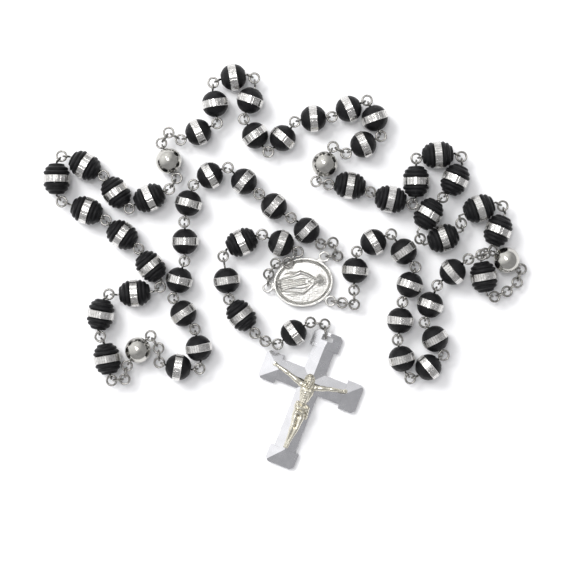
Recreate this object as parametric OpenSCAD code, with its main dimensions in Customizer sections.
// Five-decade rosary: a loop of linked beads joined at an oval medal,
// with a pendant of five beads that ends in a crucifix.
// The object lies on a table. Units are millimetres, +Z is up, and the
// origin is the centre of the medal's flat back.

/* [Beads] */
// Diameter of a round black bead
round_d = 7.9; // [7.6:0.1:7.9]
// Largest diameter of a ribbed barrel bead
barrel_d = 7.9; // [7.6:0.1:7.9]
// Length of a ribbed barrel bead
barrel_len = 9.2; // [9:0.1:9.2]
// Diameter of a steel ball
ball_d = 7.8; // [7.4:0.1:7.8]
// Outer diameter of the steel band round a black bead
band_d = 8.1; // [8:0.05:8.1]
// Width of the steel band
band_w = 2.3; // [2:0.1:2.6]

/* [Wire] */
// Wire diameter of the link rings
ring_wire = 0.65; // [0.55:0.05:0.65]
// Wire diameter of the eyes
eye_wire = 0.6; // [0.5:0.05:0.6]
// Diameter of an eye, measured at the middle of its wire
eye_mid_d = 1.8; // [1.8:0.1:1.9]
// Diameter of the straight pin between two eyes
pin_d = 0.56; // [0.5:0.02:0.58]

/* [Medal] */
// Length of the oval medal, without its lugs
medal_len = 18; // [17:0.5:18]
// Width of the oval medal
medal_w = 14.8; // [14:0.2:15]
// Height of the medal's raised rim above its back
medal_h = 2.3; // [2.2:0.1:2.6]
// Outer diameter of a lug
lug_d = 3.4; // [3.2:0.1:3.6]
// Diameter of the hole in a lug
lug_hole_d = 2; // [1.9:0.1:2]

/* [Crucifix] */
// Height of the cross
cross_h = 42.8; // [42:0.2:44]
// Width of the cross over its arms
cross_w = 31.2; // [30:0.2:32]
// Width of each bar of the cross
bar_w = 6.6; // [6:0.2:7]
// Width of the stepped ends
end_w = 9; // [8.6:0.2:9.4]
// Height of the ridge of the cross above its back
cross_t = 3; // [2.8:0.1:3.4]

/* [Hidden] */
ARCS = ["a", "b_first", "b_middle", "b_last", "c_first", "c_last", "d", "e_first", "e_last"];
$fn = 48;

black = [0.09, 0.09, 0.1];
steel = [0.78, 0.78, 0.76];
dark_steel = [0.6, 0.6, 0.58];
silver = [0.86, 0.85, 0.8];

// Link rings, all of one size
ring_mid_r = 1.45;
eye_mid_r = eye_mid_d / 2;
// Bore along each bead, and the mouth at each end that the back of the eye sits in
bore_d = 0.9;
mouth_d = 2.7;
mouth_depth = 1.05;
// Groove for the steel band, a little larger than the band
groove_d = 6.6;
band_clear = 0.05;

// Height of the bead axes, with the bands and balls on the table
axis_z = band_d / 2;
ball_z = ball_d / 2;

// Medal: turned on the table so that the head of its figure points right and a little up
medal_turn = 8;
field_h = 1.4;
rim_w = 0.7;
lug_z = 1.75;
lug_t = 0.6;
top_lug_angle = 42.5;
top_lug_reach = 10;
bottom_lug_reach = 10.8;

// Crucifix: place and lean of the cross, its ends, and the bar and slot at its top
crossing = [2.3, -30, 0];
cross_lean = 21.3;
foot_len = 27;
head_len = cross_h - foot_len;
side_h = 1.6;
end_h = 1.3;
end_len = 5.2;
corner = 1;
slot_w = 3.6;
hand_span = 24;
slot_far = 2.7;
hang_bar_w = 1;
hang_bar_low = 1.6;
hang_bar_top = 2.8;
jump_ring_at = [6.67, -15.03, 2.2];
jump_ring_heading = [-0.1, 1, 0];
jump_ring_mid_r = 1.75;
jump_ring_wire = 0.7;

function polar(r, a) = [r * cos(a), r * sin(a)];
function raised(p, z) = [p.x, p.y, z];
function unit(v) = v / norm(v);

upper_lug = raised(polar(top_lug_reach, medal_turn + top_lug_angle), lug_z);
lower_lug = raised(polar(top_lug_reach, medal_turn - top_lug_angle), lug_z);
bottom_lug = raised(polar(bottom_lug_reach, medal_turn + 180), lug_z);

// The strand is a list of pieces in order: lugs, flat rings, and beads with the heading of
// their pins in degrees.
function lug(p) = ["lug", p, [1, 0, 0]];
function ring(x, y, z = axis_z) = ["ring", [x, y, z], [1, 0, 0]];
function heading(a, rise = 0) = [cos(rise) * cos(a), cos(rise) * sin(a), sin(rise)];
function round_bead(x, y, a, z = axis_z, rise = 0) = ["round", [x, y, z], heading(a, rise)];
function barrel_bead(x, y, a, z = axis_z) = ["barrel", [x, y, z], heading(a)];
function ball(x, y, a, rise = 0) = ["ball", [x, y, ball_z], heading(a, rise)];

chain_to_e = [lug(upper_lug), ring(10.3, 7.9, 2.5), ring(8.9, 11.9, 3.4), ring(5.2, 11.4)];
decade_e = [
    round_bead(1, 15.5, 135), round_bead(-8.8, 22.8, 140), round_bead(-17.8, 30.2, 140),
    round_bead(-28, 32, 210), round_bead(-34.5, 23.7, 255), round_bead(-35.5, 12.2, 270),
    round_bead(-37.3, 0.6, 255), round_bead(-36, -9.4, 305), round_bead(-31.4, -19.8, 280),
    round_bead(-37.5, -25.5, 170)
];
chain_e_to_d = [
    ring(-43.2, -24.1), ring(-43.4, -19.8), ring(-45.8, -16.1, ball_z), ball(-49.6, -20.4, 235),
    ring(-52.9, -25.1, ball_z), ring(-53.6, -29.1), ring(-57.5, -29.5)
];
decade_d = [
    barrel_bead(-58.85, -23, 100), barrel_bead(-60.8, -9.7, 80), barrel_bead(-50.6, -3.3, 5),
    barrel_bead(-45.8, 4.7, 130), barrel_bead(-54.3, 14.2, 145), barrel_bead(-65, 21.5, 160),
    barrel_bead(-74, 31, 90), barrel_bead(-65.5, 35, 330), barrel_bead(-56.2, 26.9, 305),
    barrel_bead(-46.2, 25.3, 25)
];
chain_d_to_a = [
    ring(-40.2, 27.9), ring(-38, 31.2, ball_z), ball(-40.4, 36.4, 112), ring(-42.6, 41.7, ball_z),
    ring(-40.4, 44.9), ring(-36.8, 42.7)
];
decade_a = [
    round_bead(-31.5, 45, 25), round_bead(-26.5, 53.5, 100), round_bead(-21, 61.5, 10),
    round_bead(-16, 54.5, 250), round_bead(-14.5, 44, 305), round_bead(-6.2, 43.2, 50), round_bead(3, 49.1, 5),
    round_bead(13.6, 52, 25), round_bead(21.4, 49.2, 290), round_bead(18, 41.3, 205)
];
chain_a_to_b = [
    ring(12.8, 38.6), ring(8.9, 40.6, ball_z), ball(6.4, 35.4, 245), ring(3.8, 30.2, ball_z), ring(7.6, 29.3)
];
decade_b = [
    barrel_bead(14, 29, 350), barrel_bead(26.2, 24.9, 348), ring(32.7, 23.4, 3.7), barrel_bead(33.8, 30.2, 90),
    barrel_bead(40.3, 38.2, 5), barrel_bead(45.5, 30.7, 245), barrel_bead(37.4, 20.4, 238, 5.4),
    barrel_bead(41.9, 13.2, 20), barrel_bead(52.7, 22.1, 20), barrel_bead(58.4, 15.5, 247),
    ring(54.6, 8.6, 3.7), barrel_bead(54.1, 1.6, 280)
];
// The end of this chain passes over the ring between the last two beads of decade B
chain_b_to_c = [
    ring(57.4, -4.4), ring(61.2, -2.8, 3.4), ring(64.4, -0.1, 2.4), ring(65.6, 3.9, 2.3), ball(61, 6.6, 148, 20),
    ring(56.6, 9.4, 6.1), ring(53, 8.1, 7.2), ring(49.3, 6.9, 6)
];
decade_c = [
    round_bead(44.7, 3.1, 220, 4.8, -12), round_bead(38, -6.8, 250), round_bead(39.5, -17, 300), round_bead(37.5, -25.5, 220),
    round_bead(29.5, -23, 105), round_bead(29, -11.5, 85), round_bead(31.9, -0.8, 70), round_bead(30.1, 9.2, 125),
    round_bead(21, 12, 210), round_bead(15.5, 3.5, 265)
];
chain_to_medal = [ring(15.2, -2.4), ring(15.3, -6.7, 3.4), ring(11.7, -6.2, 2.5), lug(lower_lug)];

chain_to_pendant = [
    lug(bottom_lug), ring(-10.4, 2.4, 2.5), ring(-8.3, 5.6, 3.4), ring(-4.6, 5.9), ring(-1.6, 9.1)
];
pendant_beads = [
    round_bead(-6.7, 11.7, 158), barrel_bead(-18.5, 12, 205), round_bead(-23, 0.5, 278), barrel_bead(-18.6, -10, 308)
];
chain_in_pendant = [ring(-14.6, -15.3), ring(-11.4, -17.7), ring(-7.7, -18.6)];
last_pendant_bead = [round_bead(-2.9, -15.2, 35)];

// Half length of each kind of bead
function is_bead(piece) = piece[0] == "round" || piece[0] == "barrel" || piece[0] == "ball";
function half_length(kind) = kind == "round" ? round_d / 2 : kind == "barrel" ? barrel_len / 2 : ball_d / 2;

// A ring between two beads lies midway between the places where each bead alone would hold
// it. A ring beside a lug or another ring is placed by hand.
ring_clear = ring_mid_r + ring_wire / 2 + 0.03;
function held(bead, way) = bead[1] + way * (half_length(bead[0]) + ring_clear) * bead[2];
function ring_between(a, b) =
    is_bead(a) && is_bead(b) ? (held(a, 1) + held(b, -1)) / 2 :
    is_bead(a) ? b[1] :
    a[1];
// The base of an eye sits on the bead's axis, where the eye just reaches its ring
eye_reach = ring_mid_r + eye_mid_r;
function eye_base(bead, ring_at, way) =
    let (v = ring_at - bead[1],
         along = v * bead[2],
         aside = norm(v - along * bead[2]))
    bead[1] + (along - way * sqrt(eye_reach * eye_reach - aside * aside)) * bead[2];

// The whole loop and the whole pendant, piece by piece
crucifix_chain = [ring(2.15, -12.1, 3.65), ring(6.45, -12.66, 2.65)];
loop = concat(
    chain_to_e, decade_e, chain_e_to_d, decade_d, chain_d_to_a, decade_a,
    chain_a_to_b, decade_b, chain_b_to_c, decade_c, chain_to_medal
);
pendant = concat(chain_to_pendant, pendant_beads, chain_in_pendant, last_pendant_bead, crucifix_chain);
e_start = len(chain_to_e);
d_start = e_start + len(decade_e) + len(chain_e_to_d);
a_start = d_start + len(decade_d) + len(chain_d_to_a);
b_start = a_start + len(decade_a) + len(chain_a_to_b);
c_start = b_start + len(decade_b) + len(chain_b_to_c);
loop_end = len(loop) - 1;
arc_a = [a_start, a_start + 9];
arc_b_first = [b_start, b_start + 5];
arc_b_middle = [b_start + 6, b_start + 8];
arc_b_last = [b_start + 9, b_start + 11];
arc_c_first = [c_start, c_start + 6];
arc_c_last = [c_start + 7, c_start + 9];
arc_d = [d_start, d_start + 9];
arc_e_last = [e_start, e_start + 7];
arc_e_first = [e_start + 8, e_start + 9];
ball_at = [a_start - 4, b_start - 3, c_start - 4, d_start - 4];
pendant_bead_at = [5, 6, 7, 8, 12];

// Direction from the wire before place i to the wire after it
function wire_before(strand, i) =
    is_bead(strand[i - 1]) ? eye_base(strand[i - 1], strand[i][1], 1) : strand[i - 1][1];
function wire_after(strand, i) =
    i + 1 == len(strand) ? 2 * strand[i][1] - wire_before(strand, i) :
    is_bead(strand[i + 1]) ? eye_base(strand[i + 1], strand[i][1], -1) : strand[i + 1][1];

// Turns a child that is drawn along +X so that it lies along v, with its top kept up
module along(v) {
    rotate([0, -asin(v.z / norm(v)), atan2(v.y, v.x)])
        children();
}

module torus(mid_r, wire) {
    rotate_extrude()
        translate([mid_r, 0])
            circle(d = wire);
}

module ring_flat(at, v) {
    translate(at)
        along(v)
            torus(ring_mid_r, ring_wire);
}

module ring_on_edge(a, b) {
    translate((a + b) / 2)
        along(b - a)
            rotate([90, 0, 0])
                torus(ring_mid_r, ring_wire);
}

// Flat ring at a place of its own in the strand
module placed_ring(strand, i) {
    ring_flat(strand[i][1], wire_after(strand, i) - wire_before(strand, i));
}

// Flat ring between two beads that follow each other
module bead_ring(strand, i) {
    at = ring_between(strand[i], strand[i + 1]);
    ring_flat(at, eye_base(strand[i + 1], at, -1) - eye_base(strand[i], at, 1));
}

// All rings from place first to place last of a strand, with the links on edge between them
module rings(strand, first, last) {
    for (i = [first:last])
        if (strand[i][0] == "ring")
            placed_ring(strand, i);
    for (i = [first:last - 1])
        if (!is_bead(strand[i]) && !is_bead(strand[i + 1]))
            ring_on_edge(strand[i][1], strand[i + 1][1]);
}

module eye(base, ring_at) {
    v = ring_at - base;
    translate(base + eye_mid_r * unit(v))
        along(v)
            rotate([90, 0, 0])
                torus(eye_mid_r, eye_wire);
}

// Straight pin through a bead, with a round eye at each end
module pin(strand, i) {
    bead = strand[i];
    ring_before = ring_between(strand[i - 1], bead);
    ring_after = ring_between(bead, strand[i + 1]);
    base_before = eye_base(bead, ring_before, -1);
    base_after = eye_base(bead, ring_after, 1);
    translate(base_before)
        along(bead[2])
            rotate([0, 90, 0])
                cylinder(d = pin_d, h = norm(base_after - base_before));
    eye(base_before, ring_before);
    eye(base_after, ring_after);
}

// Half outline of a bead, with X out from the axis and Y along it
module round_outline(d) {
    intersection() {
        circle(d = d);
        translate([0, -d / 2])
            square([d / 2, d]);
    }
}

// A barrel is a tapered core with three round ribs on each half
module barrel_outline() {
    half = barrel_len / 2;
    polygon([
        [0, -half], [0.22 * barrel_d, -half], [0.24 * barrel_d, -0.9 * half], [0.38 * barrel_d, -0.76 * half],
        [0.42 * barrel_d, 0], [0.38 * barrel_d, 0.76 * half], [0.24 * barrel_d, 0.9 * half],
        [0.22 * barrel_d, half], [0, half]
    ]);
    for (side = [-1, 1]) {
        translate([barrel_d / 2 - 0.65, side * 0.4 * half])
            circle(r = 0.6);
        translate([barrel_d / 2 - 1.15, side * 0.64 * half])
            circle(r = 0.6);
        translate([barrel_d / 2 - 2.05, side * 0.86 * half])
            circle(r = 0.55);
    }
}

// Bore, mouths and band groove that are cut from half of an outline
module bead_cuts(half, groove) {
    translate([0, -half - 1])
        square([bore_d / 2, 2 * half + 2]);
    for (side = [0, 1])
        mirror([0, side])
            translate([0, half - mouth_depth])
                square([mouth_d / 2, 2]);
    if (groove)
        translate([groove_d / 2, -band_w / 2 - band_clear])
            square([3, band_w + 2 * band_clear]);
}

module bead(piece) {
    half = half_length(piece[0]);
    translate(piece[1])
        along(piece[2])
            rotate([0, 90, 0])
                rotate_extrude()
                    difference() {
                        if (piece[0] == "barrel")
                            barrel_outline();
                        else
                            round_outline(2 * half);
                        bead_cuts(half, piece[0] != "ball");
                    }
}

module band(piece) {
    inner = groove_d / 2 + band_clear;
    translate(piece[1])
        along(piece[2])
            rotate([0, 90, 0])
                rotate_extrude()
                    translate([inner, -band_w / 2])
                        square([band_d / 2 - inner, band_w]);
}

// One arc of a decade: its beads, its bands, or its pins with the rings between them
module arc_beads(arc) {
    color(black)
        for (i = [arc[0]:arc[1]])
            if (is_bead(loop[i]))
                bead(loop[i]);
}

module arc_bands(arc) {
    color(steel)
        for (i = [arc[0]:arc[1]])
            if (is_bead(loop[i]))
                band(loop[i]);
}

module arc_wires(arc) {
    color(steel) {
        for (i = [arc[0]:arc[1]])
            if (is_bead(loop[i]))
                pin(loop, i);
        for (i = [arc[0]:arc[1] - 1])
            if (is_bead(loop[i]) && is_bead(loop[i + 1]))
                bead_ring(loop, i);
        rings(loop, arc[0], arc[1]);
    }
}

module medal_chain_rings() {
    color(steel) {
        rings(loop, 0, e_start - 1);
        rings(loop, loop_end - len(chain_to_medal) + 1, loop_end);
    }
}

module loop_chain_rings() {
    color(steel) {
        rings(loop, d_start - len(chain_e_to_d), d_start - 1);
        rings(loop, a_start - len(chain_d_to_a), a_start - 1);
        rings(loop, b_start - len(chain_a_to_b), b_start - 1);
        rings(loop, c_start - len(chain_b_to_c), c_start - 1);
        for (arc = [arc_e_last, arc_b_first, arc_b_middle, arc_c_first])
            bead_ring(loop, arc[1]);
    }
}

module ball_eye_pins() {
    color(steel)
        for (i = ball_at)
            pin(loop, i);
}

module steel_ball(n) {
    color(dark_steel)
        bead(loop[ball_at[n - 1]]);
}

// Pendant: five beads, the rings between them and the two lengths of chain
module pendant_bead(n) {
    color(black)
        bead(pendant[pendant_bead_at[n - 1]]);
}

module pendant_band(n) {
    color(steel)
        band(pendant[pendant_bead_at[n - 1]]);
}

module pendant_pin(n) {
    color(steel)
        pin(pendant, pendant_bead_at[n - 1]);
}

module pendant_ring(n) {
    color(steel)
        if (n < 4)
            bead_ring(pendant, pendant_bead_at[n - 1]);
        else
            placed_ring(pendant, pendant_bead_at[n - 1] + 1);
}

module pendant_upper_chain() {
    color(steel)
        rings(pendant, 0, len(chain_to_pendant) - 1);
}

module pendant_lower_chain() {
    first = pendant_bead_at[3] + 1;
    color(steel) {
        ring_on_edge(pendant[first][1], pendant[first + 1][1]);
        rings(pendant, first + 1, pendant_bead_at[4] - 1);
    }
}

module crucifix_links() {
    color(steel)
        rings(pendant, pendant_bead_at[4] + 1, len(pendant) - 1);
}

module jump_ring() {
    color(steel)
        translate(jump_ring_at)
            along(jump_ring_heading)
                rotate([90, 0, 0])
                    torus(jump_ring_mid_r, jump_ring_wire);
}

// Medal: an oval with a raised rim, an inner line, three lugs and a robed figure in low relief
module oval(inset = 0) {
    polygon([
        for (a = [0:5:359])
            [(medal_len / 2 - inset) * cos(a), (medal_w / 2 - inset) * sin(a)]
    ]);
}

// Shape that stands on the medal, from inside the plate up to a height over its field
module relief(h) {
    translate([0, 0, field_h - 0.5])
        linear_extrude(0.5 + h)
            children();
}

module medal_lug(reach, a) {
    rotate([0, 0, a])
        translate([0, 0, lug_z - lug_t / 2])
            linear_extrude(lug_t)
                difference() {
                    union() {
                        translate([reach, 0])
                            circle(d = lug_d);
                        translate([reach - 2.3, -1.1])
                            square([1.4, 2.2]);
                    }
                    translate([reach, 0])
                        circle(d = lug_hole_d);
                }
}

// The figure lies along X, with its head near the right end and its hands low at both sides
module medal_figure() {
    // Mantle
    relief(0.35)
        polygon([
            [-6.3, -1.9], [-3, -2.5], [-0.6, -3.9], [0.4, -3.6], [3.5, -1.3],
            [3.5, 1.3], [0.4, 3.6], [-0.6, 3.9], [-3, 2.5], [-6.3, 1.9]
        ]);
    // Robe and its folds
    relief(0.55)
        polygon([[-6.7, -1.6], [-1, -1.5], [3.8, -0.7], [3.8, 0.7], [-1, 1.5], [-6.7, 1.6]]);
    for (fold = [-2:2])
        relief(0.68)
            translate([-6.5, fold * 0.6 - 0.12])
                square([5.6, 0.24]);
    // Hands, head and the rays round the head
    for (side = [-1, 1])
        relief(0.45)
            translate([-0.2, side * 3.2])
                circle(d = 1.1);
    relief(0.8)
        translate([4.7, 0])
            circle(d = 2);
    for (a = [-90:30:90])
        relief(0.25)
            translate([4.7, 0])
                rotate(a)
                    translate([1.3, -0.12])
                        square([0.6, 0.24]);
}

module medal() {
    color(silver)
        rotate([0, 0, medal_turn]) {
            difference() {
                linear_extrude(medal_h)
                    oval();
                translate([0, 0, field_h])
                    linear_extrude(medal_h)
                        oval(rim_w);
            }
            relief(0.3)
                difference() {
                    oval(1.15);
                    oval(1.45);
                }
            medal_figure();
            medal_lug(top_lug_reach, top_lug_angle);
            medal_lug(top_lug_reach, -top_lug_angle);
            medal_lug(bottom_lug_reach, 180);
        }
}

// Limb through a row of joints, tapering from one joint's diameter to the next
module limb(joints, diameters) {
    for (i = [0:len(joints) - 1])
        translate(joints[i])
            sphere(d = 1.06 * diameters[i]);
    for (i = [0:len(joints) - 2])
        translate(joints[i])
            along(joints[i + 1] - joints[i])
                rotate([0, 90, 0])
                    cylinder(d1 = diameters[i], d2 = diameters[i + 1], h = norm(joints[i + 1] - joints[i]));
}

// Places a child that is drawn with the crossing of the bars at the origin and the upright on Y
module on_cross() {
    translate(crossing)
        rotate([0, 0, -cross_lean])
            children();
}

// Bar along Y with two faces that slope up to a ridge
module ridge_bar(low, high, width, side_h) {
    translate([0, high, 0])
        rotate([90, 0, 0])
            linear_extrude(high - low)
                polygon([
                    [-width / 2, 0], [width / 2, 0], [width / 2, side_h], [0, cross_t], [-width / 2, side_h]
                ]);
}

// Bar with a wider stepped plate at each end, cut corners, and ridge ends that slope down
module flared_bar(low, high, high_end_h) {
    intersection() {
        union() {
            ridge_bar(low, high, bar_w, side_h);
            ridge_bar(low, low + end_len, end_w, end_h);
            ridge_bar(high - end_len, high, end_w, end_h);
        }
        linear_extrude(cross_t)
            polygon([
                [corner - end_w / 2, low], [end_w / 2 - corner, low], [end_w / 2, low + corner],
                [end_w / 2, high - corner], [end_w / 2 - corner, high], [corner - end_w / 2, high],
                [-end_w / 2, high - corner], [-end_w / 2, low + corner]
            ]);
        rotate([90, 0, 90])
            linear_extrude(end_w, center = true)
                polygon([
                    [low, 0], [high, 0], [high, high_end_h], [high - end_len, cross_t],
                    [low + end_len, cross_t], [low, end_h]
                ]);
    }
}

module cross_body() {
    flared_bar(-foot_len, head_len, hang_bar_top);
    rotate([0, 0, 90])
        flared_bar(-cross_w / 2, cross_w / 2, end_h);
}

module cross() {
    color(silver)
        on_cross()
            difference() {
                cross_body();
                // Slot for the jump ring, open at the back so that the ring can pass under its bar
                translate([-slot_w / 2, head_len - slot_far, -1])
                    cube([slot_w, slot_far - hang_bar_w, cross_t + 2]);
                translate([-slot_w / 2, head_len - slot_far, -1])
                    cube([slot_w, slot_far + 1, 1 + hang_bar_low]);
            }
}

// The figure is set to its full width across the hands, and its back follows the ridge of the cross
module corpus() {
    $fn = 12;
    color(silver)
        on_cross()
            resize([hand_span, 0, 0])
            difference() {
                union() {
                    // Head, bowed a little to one side, and neck
                    limb([[-0.5, 1.1, 4.6], [-0.6, -0.1, 4.7]], [3, 2.4]);
                    limb([[-0.4, -0.6, 4.2], [-0.3, -1.8, 3.9]], [1.5, 1.6]);
                    // Shoulders, chest and waist
                    limb([[-2, -1.8, 3.7], [1.7, -1.4, 3.7]], [2, 2.1]);
                    limb([[-0.2, -3.1, 3.8], [0, -6.6, 3.7]], [3.5, 2.8]);
                    // Cloth round the hips, with its knot hanging at one side
                    limb([[0, -7.5, 3.8], [0.2, -9.9, 3.7]], [3.6, 3.8]);
                    limb([[1.9, -7.7, 3.9], [2.2, -10.6, 3.4]], [1.2, 0.9]);
                    // Arms with the hands at their ends
                    limb([[-3, -1.4, 3.5], [-7.2, 0, 3.4], [-11.2, 1, 3.1], [-12.2, 1.4, 2.9]], [1.7, 1.3, 0.9, 1]);
                    limb([[2.7, -0.9, 3.5], [6.3, 0.1, 3.4], [9.8, 0.9, 3.1], [10.8, 1.2, 2.9]], [1.7, 1.3, 0.9, 1]);
                    // Legs bent at the knees, with one foot over the other
                    limb([[-0.8, -10.4, 3.7], [-0.4, -14, 4.1], [-0.4, -19.1, 3.4], [-0.3, -20.8, 3.2]],
                        [1.8, 1.5, 0.9, 0.8]);
                    limb([[1, -10.3, 3.8], [1.1, -13.8, 4.2], [0.3, -19.2, 4], [0.2, -20.8, 3.9]],
                        [1.8, 1.5, 1, 0.8]);
                }
                cross_body();
            }
}

medal();
medal_chain_rings();
loop_chain_rings();
ball_eye_pins();
steel_ball(1);  // steel_ball_1
steel_ball(2);  // steel_ball_2
steel_ball(3);  // steel_ball_3
steel_ball(4);  // steel_ball_4
arc_beads(arc_a);  // decade_a_beads
arc_bands(arc_a);  // decade_a_bands
arc_wires(arc_a);  // decade_a_wires
arc_beads(arc_b_first);  // decade_b_first_beads
arc_bands(arc_b_first);  // decade_b_first_bands
arc_wires(arc_b_first);  // decade_b_first_wires
arc_beads(arc_b_middle);  // decade_b_middle_beads
arc_bands(arc_b_middle);  // decade_b_middle_bands
arc_wires(arc_b_middle);  // decade_b_middle_wires
arc_beads(arc_b_last);  // decade_b_last_beads
arc_bands(arc_b_last);  // decade_b_last_bands
arc_wires(arc_b_last);  // decade_b_last_wires
arc_beads(arc_c_first);  // decade_c_first_beads
arc_bands(arc_c_first);  // decade_c_first_bands
arc_wires(arc_c_first);  // decade_c_first_wires
arc_beads(arc_c_last);  // decade_c_last_beads
arc_bands(arc_c_last);  // decade_c_last_bands
arc_wires(arc_c_last);  // decade_c_last_wires
arc_beads(arc_d);  // decade_d_beads
arc_bands(arc_d);  // decade_d_bands
arc_wires(arc_d);  // decade_d_wires
arc_beads(arc_e_first);  // decade_e_first_beads
arc_bands(arc_e_first);  // decade_e_first_bands
arc_wires(arc_e_first);  // decade_e_first_wires
arc_beads(arc_e_last);  // decade_e_last_beads
arc_bands(arc_e_last);  // decade_e_last_bands
arc_wires(arc_e_last);  // decade_e_last_wires
pendant_bead(1);  // pendant_bead_1
pendant_band(1);  // pendant_band_1
pendant_pin(1);  // pendant_pin_1
pendant_ring(1);  // pendant_ring_1
pendant_bead(2);  // pendant_bead_2
pendant_band(2);  // pendant_band_2
pendant_pin(2);  // pendant_pin_2
pendant_ring(2);  // pendant_ring_2
pendant_bead(3);  // pendant_bead_3
pendant_band(3);  // pendant_band_3
pendant_pin(3);  // pendant_pin_3
pendant_ring(3);  // pendant_ring_3
pendant_bead(4);  // pendant_bead_4
pendant_band(4);  // pendant_band_4
pendant_pin(4);  // pendant_pin_4
pendant_ring(4);  // pendant_ring_4
pendant_bead(5);  // pendant_bead_5
pendant_band(5);  // pendant_band_5
pendant_pin(5);  // pendant_pin_5
pendant_upper_chain();
pendant_lower_chain();
crucifix_links();
jump_ring();
cross();
corpus();
